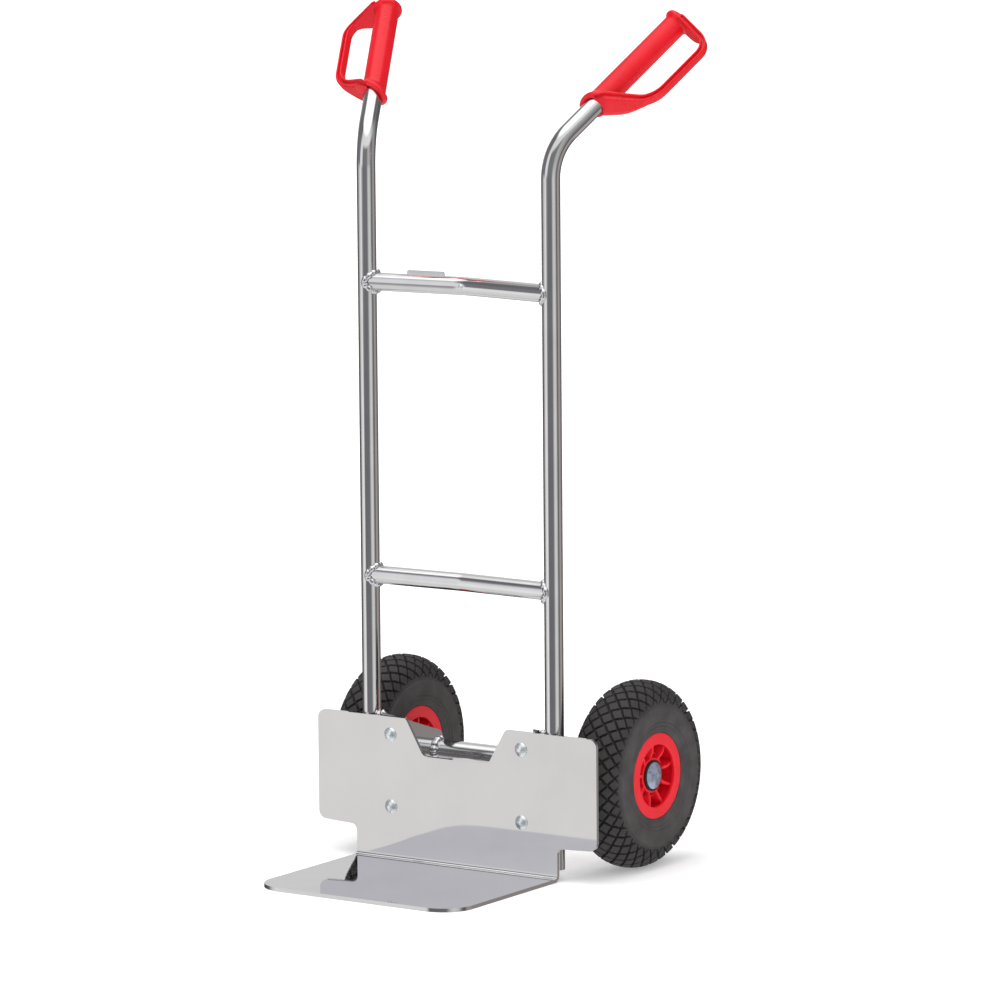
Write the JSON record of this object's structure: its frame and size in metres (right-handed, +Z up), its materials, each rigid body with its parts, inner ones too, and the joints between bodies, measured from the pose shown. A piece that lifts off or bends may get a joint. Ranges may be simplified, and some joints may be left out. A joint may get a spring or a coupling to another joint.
{
  "type": "hand truck",
  "caption": "Two-wheeled hand truck of polished aluminium tube with red D-guard grips, bowed crossbars, a folded toe plate with a top notch, and solid tyres on red ribbed rims.",
  "frame": {"origin": "bottom centre of the bounding box, on the floor", "axes": "+Z up, toe plate towards -Y, wheels and handles towards +Y, +X to the right as seen from in front of the toe plate"},
  "size_m": [0.5962, 0.529, 1.1786],
  "materials": {
    "anodised_tube": "drawn aluminium tube, polished and clear anodised",
    "anodised_sheet": "rolled aluminium sheet, polished and clear anodised",
    "zinc_plate": "steel, bright zinc plated",
    "bright_steel": "bright drawn steel",
    "grip_plastic": "moulded red plastic, satin",
    "rim_plastic": "moulded red plastic, fine satin",
    "tyre_rubber": "foamed black tyre with a moulded block tread",
    "black_nylon": "moulded black nylon",
    "pale_plate": "thin blank aluminium plate, satin"
  },
  "bodies": {
    "frame": {"left_upright": "anodised_tube", "left_axle_bracket": "anodised_sheet", "left_lower_bolt": "zinc_plate", "left_upper_bolt": "zinc_plate", "left_lower_washer": "zinc_plate", "left_upper_washer": "zinc_plate", "left_lower_lock_nut": "zinc_plate", "left_upper_lock_nut": "zinc_plate", "left_axle_bush": "black_nylon", "left_spacer_washer": "zinc_plate", "left_axle_cap": "zinc_plate", "left_grip": "grip_plastic", "right_upright": "anodised_tube", "right_axle_bracket": "anodised_sheet", "right_lower_bolt": "zinc_plate", "right_upper_bolt": "zinc_plate", "right_lower_washer": "zinc_plate", "right_upper_washer": "zinc_plate", "right_lower_lock_nut": "zinc_plate", "right_upper_lock_nut": "zinc_plate", "right_axle_bush": "black_nylon", "right_spacer_washer": "zinc_plate", "right_axle_cap": "zinc_plate", "right_grip": "grip_plastic", "upper_crossbar": "anodised_tube", "lower_crossbar": "anodised_tube", "crossbar_rivet": "zinc_plate", "data_plate": "pale_plate", "data_plate_left_rivet": "zinc_plate", "data_plate_right_rivet": "zinc_plate", "toe_plate": "anodised_sheet", "axle_tube": "anodised_tube", "axle": "bright_steel"},
    "left_wheel": {"left_tyre": "tyre_rubber", "left_rim": "rim_plastic", "left_outer_end_ring": "black_nylon", "left_inner_end_ring": "black_nylon", "left_roller_bearing": "bright_steel"},
    "right_wheel": {"right_tyre": "tyre_rubber", "right_rim": "rim_plastic", "right_outer_end_ring": "black_nylon", "right_inner_end_ring": "black_nylon", "right_roller_bearing": "bright_steel"}
  },
  "joints": [
    {"name": "left_wheel_spin", "type": "hinge", "parent": "frame", "child": "left_wheel", "pos_m": [-0.199, 0.1345, 0.13], "axis": [1, 0, 0], "continuous": true},
    {"name": "right_wheel_spin", "type": "hinge", "parent": "frame", "child": "right_wheel", "pos_m": [0.199, 0.1345, 0.13], "axis": [1, 0, 0], "continuous": true}
  ]
}
